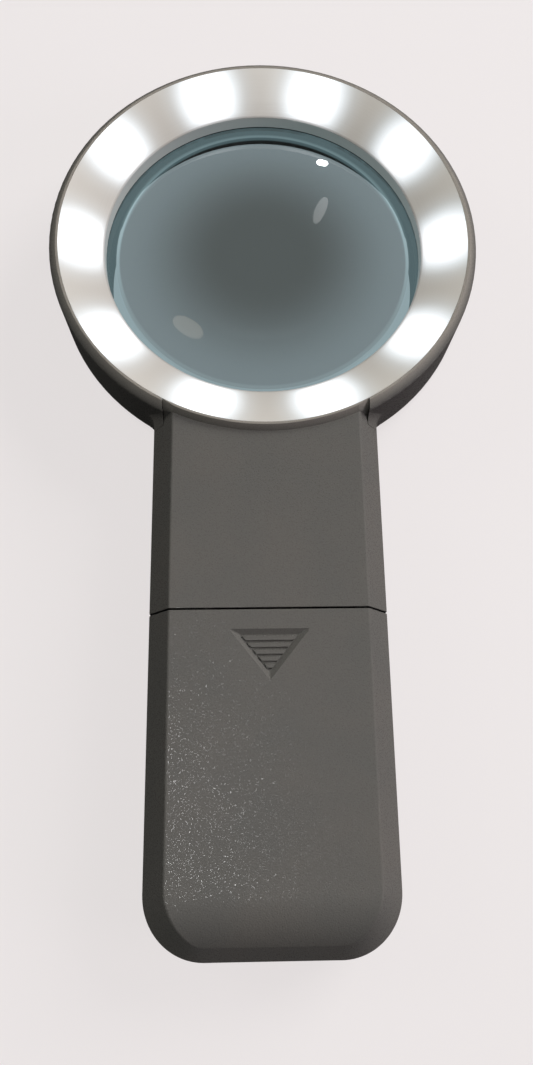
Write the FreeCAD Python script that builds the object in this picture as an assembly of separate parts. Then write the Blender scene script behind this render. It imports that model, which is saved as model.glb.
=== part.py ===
import FreeCAD
import Part
import math
import os

# Handheld illuminated magnifier, modelled lying on the side that faces its user in use.
# Millimetres. +Y runs from the handle's end to the head, +Z out of the lit side, +X to the right.
# The origin is at the middle of the overall length and width, in the plane the object rests on.

Vec = FreeCAD.Vector
X_AXIS, Y_AXIS, Z_AXIS = Vec(1, 0, 0), Vec(0, 1, 0), Vec(0, 0, 1)

# ---- Driving dimensions: handle and head ---------------------------------------------------------
LENGTH = 203.1              # handle's end to the top of the head
THICKNESS = 20.5            # rest plane to the handle's front face
HANDLE_HALF_WIDTH = 25.0
FACE_HALF_WIDTH = 20.4      # flat face between the two long chamfers
CHAMFER_DEPTH = 6.65
END_CHAMFER_RUN = 6.2       # the end's chamfer is wider than the side ones
CORNER_RADIUS = 12.0        # handle's end corners, at the widest outline
FACE_CORNER_RADIUS = 7.2    # the same corners, at the face
END_BEND_RADIUS = 15.0      # the face rolls over gently before the end
END_BEND_LENGTH = 12.5      # where that roll starts, from the handle's end
WALL = 2.0
PART_LINE_Z = 9.0           # top of the rear housing's side walls
EDGE_ROUND = 0.7            # the moulded edges between faces and chamfers
SEAM_GAP = 0.3              # between the neck cover and the battery cover
SEAM_ROUND = 0.2            # the covers' edges along that seam
FIT_GAP = 0.1               # between fixed shells

HEAD_RADIUS = 49.5
RIM_Z = 22.0                # top of the head's rim
RIM_INNER_RADIUS = 47.3
RIM_LIP = 0.5               # a narrow flat at the rim's top
RIM_BAND_DROP = 1.3         # the rim slopes down by this much out to the head's wall
RIM_ROUND = 0.8             # the edge between that slope and the wall
NECK_BAND_RUN = 0.9         # the same slope over the neck, down to the handle's face
NECK_FLANK_RUN = 1.5        # the steep flank below it
NECK_FLANK_Z = 14.0
NECK_CORNER_RUN = 3.4       # the slope is cut off obliquely at both ends, over this length
NECK_FILLET = 4.0
HORN_HALF_GAP = 22.5        # half of the neck cover's width where it enters the head
HORN_LENGTH = 46.0          # the head's horns reach this far from its centre

# ---- Driving dimensions: rear housing ------------------------------------------------------------
DRUM_LEDGE_RADIUS = 46.3    # a ledge for the lit ring's skirt
DRUM_LEDGE_Z = 13.5
TUBE_TOP_Z = 14.5           # top of the tube round the lens
RAIL_X = (21.55, 22.75)
RAIL_FOOT_Z = (5.3, 7.5)    # the rails' underside runs into the lower chamfers
RAIL_TOP_Z = 13.0
GROOVE_Z = (10.6, 11.8)
GROOVE_DEPTH = 0.6
BULKHEAD = 1.5
BULKHEAD_TOP_Z = 17.4
BULKHEAD_CLEARANCE = 0.35   # under the covers
CRADLE_YS = (-83.0, -65.5, -48.0)
CRADLE_THICKNESS = 1.6
CRADLE_TOP_Z = 6.4
CRADLE_HALF_WIDTH = 21.0
BOSS_RADIUS = 3.8
BOSS_TOP_Z = 10.0
SMALL_BOSS = 2.1
BORE_DEPTH = 3.5            # the housing screws' heads sit this deep
ROOT = 0.2                  # ribs run this far into the walls that carry them
FLOOR_ROOT_Z = 1.0          # bosses and ribs start inside the floor

# ---- Driving dimensions: covers ------------------------------------------------------------------
COVER_LIFT = 0.15           # running gap over the housing's side walls
BEAD_X = 22.3
BEAD_Z = (10.75, 11.65)
BEAD_STOP = 0.5             # short of the upper bulkhead
COVER_BOSS_RADIUS = 3.2
COVER_BOSS_REACH = 1.0      # into the face above
GRIP_HALF_WIDTH = 8.2       # a sunken triangle that points the way the cover slides off
GRIP_HEIGHT = 10.35
GRIP_DEPTH = 0.75
GRIP_BEVEL = 1.1            # its sides slope in by this much
GRIP_CORNER = 0.3
GRIP_RIDGES = 5
GRIP_RIDGE = 1.2
GRIP_RIDGE_SLOPE = 0.2
GRIP_RIDGE_RISE = 0.4
GRIP_RIDGE_PITCH = 1.38
GRIP_MARGIN = 0.15          # from the foot of the triangle's sides to the ridges

# ---- Driving dimensions: light and lens ----------------------------------------------------------
RING_OUTER_RADIUS = 47.2
RING_INNER_RADIUS = 37.5
RING_INNER_Z = 16.5         # the lit ring falls from the rim to this height
RING_THICKNESS = 1.5
RING_SKIRT = 0.9
LENS_RADIUS = 39.0
LENS_LAND_INNER = 35.2      # the lens's curved faces end here, inside a flat flange
LENS_SEAT_Z = 10.8
LENS_EDGE = 2.2
LENS_SAG = 4.3
GASKET_THICKNESS = 0.4
GASKET_GAP = 0.1
REAR_OPENING_RADIUS = 37.8
LENS_TUBE_INNER = 39.1
LENS_TUBE_OUTER = 40.1
LED_COUNT = 10
LED_RADIUS = 42.6
LED_SIZE = (3.5, 2.8, 1.4)
LED_WELL_RADIUS = 1.1
LED_WELL_DEPTH = 0.5
PHOSPHOR_GAP = 0.02         # round the phosphor in its well
PHOSPHOR_SINK = 0.05
LED_BOARD_Z = 11.4
LED_BOARD_INNER = 40.3
LED_BOARD_OUTER = 46.0
BOARD_THICKNESS = 1.2
BOARD_SCREW_RADIUS = 43.2
BOARD_SCREW_ANGLES = (0, 108, 252)
RESISTOR_SIZE = (2.0, 1.25, 0.55)
RESISTOR_TURN = 9           # degrees past each lamp

# ---- Driving dimensions: cells and contacts ------------------------------------------------------
CELL_RADIUS = 7.1
CELL_LENGTH = 50.5
CELL_EDGE = 0.5
CELL_NUB_LENGTH = 1.3
CELL_NUB_RADIUS = 2.6
CELL_NUB_EDGE = 0.4
CELL_PITCH = 14.3
CELL_PLAY = 0.15            # between a cell and its cradle
PLATE = 0.4                 # contact sheet thickness
PLATE_HALF = 5.0
PLATE_FOOT_Z = 3.7
PLATE_GAP = 0.05            # round a sheet in its pocket
END_PLATE_TOP_Z = 15.0      # under the cover's sloping end
DIMPLE = 1.1                # raised contact button
DIMPLE_RADII = (2.2, 1.3)
TAB_X = -11.5
TAB_HALF = 1.6
TAB_REACH = 2.6             # past the bulkhead
SPRING_WIRE = 0.4
SPRING_RADII = (4.4, 2.9)
SPRING_TURNS = 3
SPRING_ARCS_PER_TURN = 4
SPRING_CLEARANCE = 0.02

# ---- Driving dimensions: switch ------------------------------------------------------------------
SWITCH_Y = -12.0
SWITCH_TRAVEL = 4.0
DISH_HALF = ((8.0, 11.4), (5.7, 8.9))       # the thumb recess at the back and at its floor
DISH_FLOOR_Z = 2.5
SWITCH_SLOT_HALF = (2.2, 4.4)
SWITCH_PAD_HALF = (10.5, 13.0)
SWITCH_PAD_TOP_Z = 4.2
SWITCH_BOARD_Z = 10.8
SWITCH_BOARD_HALF = (11.0, 8.5)
SWITCH_SCREW_OFFSET = (8.6, -6.0)
KNOB_HALF = (5.2, 6.5)
KNOB_Z = (0.35, 2.3)
KNOB_CORNER = 1.6
KNOB_EDGE = 0.5
KNOB_GROOVES = 5
KNOB_GROOVE = 0.8
KNOB_GROOVE_DEPTH = 0.5
KNOB_GROOVE_PITCH = 1.9
KNOB_GROOVE_MARGIN = 1.2
STEM_HALF = (2.0, 2.2)
STEM_TOP_Z = 5.6
EAR_HALF = (2.9, 1.0)       # the ears keep the knob from dropping out
EAR_Z = (4.4, 5.1)
FORK_FLOOR_Z = 3.5
POST_HALF = (1.3, 1.4)      # the slider's post stands in the knob's fork
POST_FOOT_Z = 3.7
POST_PLAY = 0.1
FRAME_HALF = (3.3, 6.5)
FRAME_Z = (6.0, 10.6)
FRAME_SHEET = 0.4
FRAME_SLOT_PLAY = 0.15
SLIDER_HALF = (2.7, 3.2)
SLIDER_Z = (6.5, 8.1)
WIPER_HALF = (1.2, 2.6)
WIPER_Z = (8.55, 8.8)
WIPER_FOOT_Y = 1.2
WIPER_FOOT_HALF = 0.15
TERMINAL_PITCH = 3.2
TERMINAL_HALF = (0.6, 0.2)
TERMINAL_Z = (8.9, 13.4)
TERMINAL_GAP = 0.1
SWITCH_BASE = 1.1

# ---- Driving dimensions: fasteners and wires -----------------------------------------------------
SCREW_HEAD = (2.3, 1.5)     # radius and height
SCREW_SHANK = 1.2
SCREW_LENGTH = 12.0
SMALL_HEAD = (1.9, 1.1)
SMALL_SHANK = 0.85
SMALL_LENGTH = 5.0
THREAD_GAP = 0.05
HOLE_GAP = 0.2              # round a screw that passes through
HEAD_GAP = 0.3              # round a screw's head
TIP_GAP = 0.5               # past a screw's tip
SCREW_HEAD_ROUND = 0.45     # share of the head's height
SCREW_POINT = 0.25          # the tip's radius as a share of the shank's
CROSS = (0.62, 0.15, 0.6)   # a recess's arm, half width and depth as shares of the head
WIRE_RADIUS = 0.65
WIRE_PLAY = 0.1
WIRE_BEND = 1.8
RETURN_BEND = 2.4
SOLDER_GAP = 0.02           # a wire's end stops this far from its pad
LEAD_X = 5.5                # where the two red wires meet the switch board
POSITIVE_TURN_Y, POSITIVE_PAD_Y = -26.0, -17.5
SWITCHED_PAD_Y, SWITCHED_HIGH_Z, SWITCHED_LOW_Z = -6.0, 15.8, 6.5
SWITCHED_DROP_Y, SWITCHED_END_Y = (0.0, 2.0), 8.5
RETURN_LOW_Z = 3.95
RETURN_DIP_YS = (3.5, 9.0)  # from the end bulkhead
RETURN_SIDE_X = 12.0
RETURN_YS = (-32.0, -25.0, 9.5)
RETURN_PASS = (0.8, 1.7)    # half width and height of its way under the upper bulkhead

# ---- Reaches of the cutting blocks, past what they cut -------------------------------------------
OUTSIDE = 40.0
PAST = 5.0
TOUCH = 0.01
LEVEL = 2.0                 # an edge that climbs less than this counts as level

# ---- Places worked out from them -----------------------------------------------------------------
HEAD_Y = LENGTH / 2 - HEAD_RADIUS
END_Y = -LENGTH / 2
SEAM_Y = HEAD_Y - 87.5
HORN_Y = HEAD_Y - HORN_LENGTH
NECK_TOP_Y = HEAD_Y - 41.5      # the handle's hollow opens into the drum here
TONGUE_TOP_Y = HEAD_Y - 41.0    # the neck cover's room ends inside the drum
WEB_START_Y = HEAD_Y - 45.2     # the softened edges stop where the webs begin
NECK_SHELL_Y = HEAD_Y - 38.0    # the neck cover's shell is drawn to here before it is trimmed
IN_DRUM_Y = HEAD_Y - 30.0       # the handle's solid is drawn to here, well inside the drum
HIGH_SHOULDER_Z = THICKNESS - CHAMFER_DEPTH
LOW_SHOULDER_Z = CHAMFER_DEPTH
SIDE_RUN = HANDLE_HALF_WIDTH - FACE_HALF_WIDTH
RIM_EDGE_RADIUS = RIM_INNER_RADIUS + RIM_LIP
DRUM_BACK_RADIUS = HEAD_RADIUS - SIDE_RUN
OPEN_Z = RIM_Z + PAST
RAIL_START_Y = END_Y + 13.0
INNER_HALF_WIDTH = HANDLE_HALF_WIDTH - WALL
GRIP_TOP_Y = SEAM_Y - 4.15
GRIP_SIDE = math.hypot(GRIP_HALF_WIDTH, GRIP_HEIGHT)
CELL_Z = THICKNESS / 2
CELL_X = [-CELL_PITCH, 0.0, CELL_PITCH]
GUTTER_X = CELL_PITCH / 2       # the return wire lies between two cells
GUTTER_Z = WALL + WIRE_RADIUS + WIRE_PLAY
BAY_TOP_Y = SEAM_Y - 1.05                   # battery side of the upper bulkhead
BAY_END_Y = END_Y + 8.05                    # battery side of the end bulkhead
CELL_TOP_Y = BAY_TOP_Y - DIMPLE             # nubs of the outer cells
CELL_END_Y = BAY_END_Y + DIMPLE             # nub of the middle cell
LED_BOARD_TOP = LED_BOARD_Z + BOARD_THICKNESS
LED_TOP = LED_BOARD_TOP + LED_SIZE[2]
SWITCH_BOARD_TOP = SWITCH_BOARD_Z + BOARD_THICKNESS
LENS_TOP = LENS_SEAT_Z + LENS_EDGE
RING_FOOT_Z = LENS_TOP + GASKET_THICKNESS
ON_Y = SWITCH_Y + SWITCH_TRAVEL / 2         # the knob stands at its lit end
HOUSING_SCREWS = [(side * 17.2, y) for y in (-28.5, -1.5) for side in (-1, 1)]
SWITCH_SCREWS = [(way * SWITCH_SCREW_OFFSET[0], SWITCH_Y + way * SWITCH_SCREW_OFFSET[1]) for way in (-1, 1)]


# ---- Small builders -----------------------------------------------------------------------------
def block(x0, x1, y0, y1, z0, z1):
    return Part.makeBox(x1 - x0, y1 - y0, z1 - z0, Vec(x0, y0, z0))


def disc(x, y, z0, z1, radius):
    return Part.makeCylinder(radius, z1 - z0, Vec(x, y, z0), Z_AXIS)


def centred(half, y, z0, z1):
    """A block centred on x = 0 and on y, from its half width and half length."""
    return block(-half[0], half[0], y - half[1], y + half[1], z0, z1)


def grown(half, by):
    return half[0] + by, half[1] + by


def rod_y(x, z, y0, y1, radius):
    return Part.makeCylinder(radius, y1 - y0, Vec(x, y0, z), Y_AXIS)


def hollow_disc(y, z0, z1, inner, outer):
    return disc(0, y, z0, z1, outer).cut(disc(0, y, z0, z1, inner))


def join(shapes):
    """One clean solid, or several, from touching shapes."""
    first, rest = shapes[0], shapes[1:]
    return (first.fuse(rest) if rest else first).removeSplitter()


def cut_all(shape, tools):
    return shape.cut(tools).removeSplitter() if tools else shape


def polygon(points):
    vectors = [Vec(*p) for p in points]
    return Part.makePolygon(vectors + vectors[:1])


def prism(points, direction):
    return Part.Face(polygon(points)).extrude(direction)


def revolve(profile, y):
    """Turns a list of edges in the XZ plane round the vertical axis at (0, y)."""
    face = Part.Face(Part.Wire(profile))
    face.translate(Vec(0, y, 0))
    return face.revolve(Vec(0, y, 0), Z_AXIS, 360)


def chain(points):
    """Straight edges through (radius, height) points, closed."""
    vectors = [Vec(r, 0, z) for r, z in points]
    return [Part.makeLine(a, b) for a, b in zip(vectors, vectors[1:] + vectors[:1])]


def round_at(angle_deg, radius):
    """The (x, y) place on the head at an angle clockwise from the top of the head."""
    a = math.radians(angle_deg)
    return radius * math.sin(a), HEAD_Y + radius * math.cos(a)


def turned(shape, angle_deg):
    """A shape built at the top of the head, turned clockwise about the head's axis."""
    copy = shape.copy()
    copy.rotate(Vec(0, HEAD_Y, 0), Z_AXIS, -angle_deg)
    return copy


def soft_corner(before, corner, after, radius):
    """Rounds the corner between two straight runs: where the arc starts, the arc, where it ends."""
    back, ahead = (before - corner).normalize(), (after - corner).normalize()
    half = back.getAngle(ahead) / 2
    reach = radius / math.tan(half)
    start, end = corner + back * reach, corner + ahead * reach
    crown = corner + (back + ahead).normalize() * (radius / math.sin(half) - radius)
    return start, Part.Arc(start, crown, end).toShape(), end


def tube(points, radius, bend):
    """A round wire along straight runs joined by tangent arcs."""
    vectors = [Vec(*p) for p in points]
    edges, start = [], vectors[0]
    for before, corner, after in zip(vectors, vectors[1:], vectors[2:]):
        arc_start, arc, arc_end = soft_corner(before, corner, after, bend)
        edges += [Part.makeLine(start, arc_start), arc]
        start = arc_end
    edges.append(Part.makeLine(start, vectors[-1]))
    section = Part.Wire(Part.makeCircle(radius, vectors[0], vectors[1] - vectors[0]))
    return Part.Wire(edges).makePipeShell([section], True, False)


def screw(x, y, seat_z, head_radius, head_height, shank_radius, length, up):
    """A pan head screw whose head's underside is at seat_z. up is the way its shank points."""
    head = Part.makeCylinder(head_radius, head_height, Vec(x, y, seat_z), Z_AXIS * -up)
    top = [e for e in head.Edges if abs(e.CenterOfMass.z - (seat_z - up * head_height)) < 1e-6
           and e.Curve.TypeId == "Part::GeomCircle"]
    head = head.makeFillet(head_height * SCREW_HEAD_ROUND, top)
    straight = length - shank_radius
    shank = Part.makeCylinder(shank_radius, straight, Vec(x, y, seat_z), Z_AXIS * up)
    point = Part.makeCone(shank_radius, shank_radius * SCREW_POINT, shank_radius,
                          Vec(x, y, seat_z + up * straight), Z_AXIS * up)
    arm, slot = head_radius * CROSS[0], head_radius * CROSS[1]
    z0, z1 = sorted((seat_z - up * head_height, seat_z - up * head_height * (1 - CROSS[2])))
    cross = [block(x - arm, x + arm, y - slot, y + slot, z0, z1),
             block(x - slot, x + slot, y - arm, y + arm, z0, z1)]
    return cut_all(join([head, shank, point]), cross)


# ---- Outer form ----------------------------------------------------------------------------------
def handle_outline(half_width, end_y, corner, top_y, z):
    """The handle seen from the front: open shoulders at top_y, two round corners at end_y."""
    k = corner * (1 - math.sqrt(0.5))
    w, c = half_width, corner
    left = Part.Arc(Vec(-w, end_y + c, z), Vec(-w + k, end_y + k, z), Vec(-w + c, end_y, z))
    right = Part.Arc(Vec(w - c, end_y, z), Vec(w - k, end_y + k, z), Vec(w, end_y + c, z))
    return Part.Wire([
        Part.makeLine(Vec(-w, top_y, z), Vec(-w, end_y + c, z)), left.toShape(),
        Part.makeLine(Vec(-w + c, end_y, z), Vec(w - c, end_y, z)), right.toShape(),
        Part.makeLine(Vec(w, end_y + c, z), Vec(w, top_y, z)),
        Part.makeLine(Vec(w, top_y, z), Vec(-w, top_y, z))])


def handle_form(inset, top_y):
    """The handle's solid shape, drawn in by inset all round, chamfered front and back."""
    side_slant = math.hypot(SIDE_RUN, CHAMFER_DEPTH)
    end_slant = math.hypot(END_CHAMFER_RUN, CHAMFER_DEPTH)
    wide = HANDLE_HALF_WIDTH - inset
    narrow = FACE_HALF_WIDTH - inset * (side_slant - SIDE_RUN) / CHAMFER_DEPTH
    wide_end = END_Y + inset
    narrow_end = END_Y + END_CHAMFER_RUN + inset * (end_slant - END_CHAMFER_RUN) / CHAMFER_DEPTH
    shoulder = CHAMFER_DEPTH + inset * (side_slant - CHAMFER_DEPTH) / SIDE_RUN
    wide_corner, narrow_corner = CORNER_RADIUS - inset, FACE_CORNER_RADIUS - inset * 0.5

    def narrow_wire(z):
        return handle_outline(narrow, narrow_end, narrow_corner, top_y, z)

    def wide_wire(z):
        return handle_outline(wide, wide_end, wide_corner, top_y, z)

    back = Part.makeLoft([narrow_wire(inset), wide_wire(shoulder)], True, True)
    middle = Part.Face(wide_wire(shoulder)).extrude(Z_AXIS * (THICKNESS - 2 * shoulder))
    front = Part.makeLoft([wide_wire(THICKNESS - shoulder), narrow_wire(THICKNESS - inset)], True, True)
    form = join([back, middle, front])
    bend_y = END_Y + END_BEND_LENGTH
    roll = Part.makeCylinder(END_BEND_RADIUS - inset, 2 * OUTSIDE,
                             Vec(-OUTSIDE, bend_y, THICKNESS - END_BEND_RADIUS), X_AXIS)
    above = block(-OUTSIDE, OUTSIDE, END_Y - PAST, bend_y, HIGH_SHOULDER_Z + 1, THICKNESS + PAST).cut(roll)
    return form.cut(above).removeSplitter()


def outer_handle(top_y):
    """The handle's outside, with its long edges and the edges round its end softened."""
    form = handle_form(0, top_y)
    level = [e for e in form.Edges if e.BoundBox.ZLength < LEVEL and e.BoundBox.YMin < top_y - TOUCH]
    return form.makeFillet(EDGE_ROUND, level)


def soften_seam(cover, y):
    """Rounds a cover's outer edges in the plane of the seam."""
    core = handle_form(WALL / 2, HEAD_Y)
    edges = []
    for edge in cover.Edges:
        middle = edge.valueAt((edge.FirstParameter + edge.LastParameter) / 2)
        in_seam = abs(edge.BoundBox.YMin - y) < TOUCH and abs(edge.BoundBox.YMax - y) < TOUCH
        low = edge.BoundBox.ZMax < PART_LINE_Z + COVER_LIFT + TOUCH
        if in_seam and not low and not core.isInside(middle, TOUCH, True):
            edges.append(edge)
    return cover.makeFillet(SEAM_ROUND, edges)


def level_edges(shape, z):
    """The edges that lie wholly at one height."""
    return [e for e in shape.Edges if abs(e.BoundBox.ZMin - z) < TOUCH and abs(e.BoundBox.ZMax - z) < TOUCH]


def head_form():
    """The head's drum: a chamfered back, an upright wall and a rim that slopes outward."""
    shoulder = Vec(HEAD_RADIUS, 0, LOW_SHOULDER_Z)
    band_foot, rim = Vec(HEAD_RADIUS, 0, RIM_Z - RIM_BAND_DROP), Vec(RIM_EDGE_RADIUS, 0, RIM_Z)
    on_wall, bend, on_band = soft_corner(shoulder, band_foot, rim, RIM_ROUND)
    run = [on_band, rim, Vec(0, 0, RIM_Z), Vec(0, 0, 0), Vec(DRUM_BACK_RADIUS, 0, 0), shoulder, on_wall]
    form = revolve([Part.makeLine(a, b) for a, b in zip(run, run[1:])] + [bend], HEAD_Y)
    return form.makeFillet(EDGE_ROUND, level_edges(form, 0) + level_edges(form, LOW_SHOULDER_Z))


def web_outline(side, half_width, head_radius, z):
    """The corner between head and neck, filled out to a round inside corner."""
    r = NECK_FILLET
    drop = math.sqrt((head_radius + r) ** 2 - (half_width + r) ** 2)
    on_neck = Vec(side * half_width, HEAD_Y - drop, z)
    share = head_radius / (head_radius + r)
    on_head = Vec(side * (half_width + r) * share, HEAD_Y - drop * share, z)
    centre = Vec(side * (half_width + r), HEAD_Y - drop, z)
    crown = centre + ((on_neck + on_head) * 0.5 - centre).normalize() * r
    within = side * (half_width - WALL)
    inside_head = Vec(within, HEAD_Y - drop * share + WALL, z)
    inside_neck = Vec(within, HEAD_Y - drop, z)
    return Part.Wire([Part.Arc(on_neck, crown, on_head).toShape(), Part.makeLine(on_head, inside_head),
                      Part.makeLine(inside_head, inside_neck), Part.makeLine(inside_neck, on_neck)])


def neck_webs():
    """Both webs, following the chamfers front and back."""
    stages = [(0, FACE_HALF_WIDTH, DRUM_BACK_RADIUS), (LOW_SHOULDER_Z, HANDLE_HALF_WIDTH, HEAD_RADIUS),
              (HIGH_SHOULDER_Z, HANDLE_HALF_WIDTH, HEAD_RADIUS), (THICKNESS, FACE_HALF_WIDTH, HEAD_RADIUS)]
    webs = []
    for side in (-1, 1):
        for (z0, w0, r0), (z1, w1, r1) in zip(stages, stages[1:]):
            wires = [web_outline(side, w0, r0, z0), web_outline(side, w1, r1, z1)]
            webs.append(Part.makeLoft(wires, True, True))
    return webs


def front_of_head(x, radius):
    """The y at which a circle about the head's axis crosses x, on the handle's side."""
    return HEAD_Y - math.sqrt(radius ** 2 - x ** 2)


def neck_band():
    """The rim's sloped edge over the neck, on a flange, cut off obliquely at both ends."""
    inner, foot = RIM_INNER_RADIUS - 1, RIM_EDGE_RADIUS + NECK_BAND_RUN
    band = revolve(chain([(inner, NECK_FLANK_Z), (foot + NECK_FLANK_RUN, NECK_FLANK_Z),
                          (foot, THICKNESS), (RIM_EDGE_RADIUS, RIM_Z), (inner, RIM_Z)]), HEAD_Y)
    seam_drop = (HORN_HALF_GAP - FACE_HALF_WIDTH) * CHAMFER_DEPTH / SIDE_RUN
    rim_y = front_of_head(HORN_HALF_GAP, RIM_INNER_RADIUS)
    corners = []
    for side in (-1, 1):
        on_face = Vec(side * FACE_HALF_WIDTH, front_of_head(FACE_HALF_WIDTH, foot), THICKNESS)
        on_rim = Vec(side * HORN_HALF_GAP, rim_y, RIM_Z)
        on_chamfer = Vec(side * HORN_HALF_GAP, rim_y - NECK_CORNER_RUN, THICKNESS - seam_drop)
        outward = (on_rim - on_face).cross(on_face - on_chamfer) * side
        corners.append(Part.makeCylinder(2 * PAST, 2 * PAST, on_face, outward))
    return band.cut(corners)


# ---- Rear housing --------------------------------------------------------------------------------
def drum_hollow():
    """The ring-shaped room between the drum's wall and the lens tube."""
    run = SIDE_RUN / CHAMFER_DEPTH
    inner_back = DRUM_BACK_RADIUS - WALL * math.hypot(run, 1)
    return revolve(chain([
        (LENS_TUBE_OUTER, WALL), (inner_back + run * WALL, WALL),
        (DRUM_LEDGE_RADIUS, (DRUM_LEDGE_RADIUS - inner_back) / run),
        (DRUM_LEDGE_RADIUS, DRUM_LEDGE_Z), (RIM_INNER_RADIUS, DRUM_LEDGE_Z),
        (RIM_INNER_RADIUS, OPEN_Z), (LENS_TUBE_OUTER, OPEN_Z)]), HEAD_Y)


def covers_room(gap):
    """All the space that belongs to the two covers, grown by a gap."""
    half = HORN_HALF_GAP + gap / 2
    handle = block(-OUTSIDE, OUTSIDE, END_Y - PAST, HORN_Y + gap, PART_LINE_Z, OPEN_Z)
    tongue = block(-half, half, HORN_Y - PAST, TONGUE_TOP_Y, PART_LINE_Z, OPEN_Z)
    return [handle, tongue]


def bulkhead(y0, y1):
    """A wall across the handle, clear of the covers that slide over it."""
    slab = block(-OUTSIDE, OUTSIDE, y0, y1, FLOOR_ROOT_Z, BULKHEAD_TOP_Z)
    upper = slab.common(handle_form(WALL + BULKHEAD_CLEARANCE, HEAD_Y))
    low_slab = block(-OUTSIDE, OUTSIDE, y0, y1, FLOOR_ROOT_Z, PART_LINE_Z)
    return [upper, low_slab.common(handle_form(WALL - ROOT, HEAD_Y))]


def rails():
    """Grooved rails along both sides that hold the battery cover down."""
    inner_x, outer_x = RAIL_X
    wall_x, groove_x = INNER_HALF_WIDTH + ROOT, outer_x - GROOVE_DEPTH
    section = [(inner_x, RAIL_FOOT_Z[0]), (wall_x, RAIL_FOOT_Z[1]), (wall_x, PART_LINE_Z),
               (outer_x, PART_LINE_Z), (outer_x, GROOVE_Z[0]), (groove_x, GROOVE_Z[0]),
               (groove_x, GROOVE_Z[1]), (outer_x, GROOVE_Z[1]), (outer_x, RAIL_TOP_Z), (inner_x, RAIL_TOP_Z)]
    along = Y_AXIS * (BAY_TOP_Y + ROOT - RAIL_START_Y)
    return [prism([(side * x, RAIL_START_Y, z) for x, z in section], along) for side in (-1, 1)]


def cradles():
    """Low ribs shaped to the three cells, with a gutter for the return wire."""
    room = [rod_y(x, CELL_Z, END_Y, HEAD_Y, CELL_RADIUS + CELL_PLAY) for x in CELL_X]
    half = WIRE_RADIUS + WIRE_PLAY
    room.append(block(GUTTER_X - half, GUTTER_X + half, END_Y, HEAD_Y, WALL, GUTTER_Z + half))
    inside = handle_form(WALL - ROOT, HEAD_Y)
    ribs = []
    for y in CRADLE_YS:
        rib = block(-CRADLE_HALF_WIDTH, CRADLE_HALF_WIDTH, y, y + CRADLE_THICKNESS,
                    FLOOR_ROOT_Z, CRADLE_TOP_Z)
        ribs.append(rib.common(inside).cut(room))
    return ribs


def switch_recess():
    """A thumb dish in the back with a slot in its floor."""
    def rectangle(half, z):
        x, y0, y1 = half[0], SWITCH_Y - half[1], SWITCH_Y + half[1]
        return polygon([(-x, y0, z), (x, y0, z), (x, y1, z), (-x, y1, z)])

    dish = Part.makeLoft([rectangle(DISH_HALF[0], -TOUCH), rectangle(DISH_HALF[1], DISH_FLOOR_Z)], True, True)
    return [dish, centred(SWITCH_SLOT_HALF, SWITCH_Y, 0, SWITCH_PAD_TOP_Z + 1)]


def lamp_board_screws():
    return [round_at(angle, BOARD_SCREW_RADIUS) for angle in BOARD_SCREW_ANGLES]


def housing_bosses():
    bosses = [disc(x, y, FLOOR_ROOT_Z, BOSS_TOP_Z, BOSS_RADIUS) for x, y in HOUSING_SCREWS]
    bosses += [disc(x, y, FLOOR_ROOT_Z, SWITCH_BOARD_Z, SMALL_BOSS) for x, y in SWITCH_SCREWS]
    bosses += [disc(x, y, FLOOR_ROOT_Z, LED_BOARD_Z, SMALL_BOSS) for x, y in lamp_board_screws()]
    return bosses


def housing_screw_holes():
    holes, small_hole = [], SMALL_SHANK + THREAD_GAP
    for x, y in HOUSING_SCREWS:
        holes.append(disc(x, y, -1, BORE_DEPTH, SCREW_HEAD[0] + HEAD_GAP))
        holes.append(disc(x, y, 0, BOSS_TOP_Z + 1, SCREW_SHANK + HOLE_GAP))
    for x, y in SWITCH_SCREWS:
        holes.append(disc(x, y, SWITCH_BOARD_Z - SMALL_LENGTH, SWITCH_BOARD_Z + 1, small_hole))
    for x, y in lamp_board_screws():
        holes.append(disc(x, y, LED_BOARD_Z - SMALL_LENGTH, LED_BOARD_Z + 1, small_hole))
    return holes


def make_rear_housing():
    softened = outer_handle(IN_DRUM_Y).common(
        block(-OUTSIDE, OUTSIDE, END_Y - PAST, WEB_START_Y, -PAST, OPEN_Z))
    crisp = handle_form(0, IN_DRUM_Y).common(
        block(-OUTSIDE, OUTSIDE, WEB_START_Y, IN_DRUM_Y + PAST, -PAST, OPEN_Z))
    shell = join([softened, crisp, head_form()] + neck_webs())
    shell = shell.cut([handle_form(WALL, NECK_TOP_Y), drum_hollow()] + covers_room(FIT_GAP))
    pad = centred(SWITCH_PAD_HALF, SWITCH_Y, FLOOR_ROOT_Z, SWITCH_PAD_TOP_Z)
    ribs = bulkhead(BAY_TOP_Y, BAY_TOP_Y + BULKHEAD) + bulkhead(BAY_END_Y - BULKHEAD, BAY_END_Y)
    body = join([shell, pad] + housing_bosses() + ribs + rails() + cradles())
    pass_half, pass_height = RETURN_PASS
    cuts = [disc(0, HEAD_Y, -1, LENS_SEAT_Z + 1, REAR_OPENING_RADIUS),
            disc(0, HEAD_Y, LENS_SEAT_Z, OPEN_Z, LENS_TUBE_INNER),
            hollow_disc(HEAD_Y, TUBE_TOP_Z, OPEN_Z, LENS_TUBE_INNER - 1, LENS_TUBE_OUTER + 1),
            block(GUTTER_X - pass_half, GUTTER_X + pass_half, BAY_TOP_Y - 1, BAY_TOP_Y + BULKHEAD + 1,
                  WALL, WALL + pass_height)]
    return cut_all(body, cuts + housing_screw_holes() + switch_recess() + plate_pockets())


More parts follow.
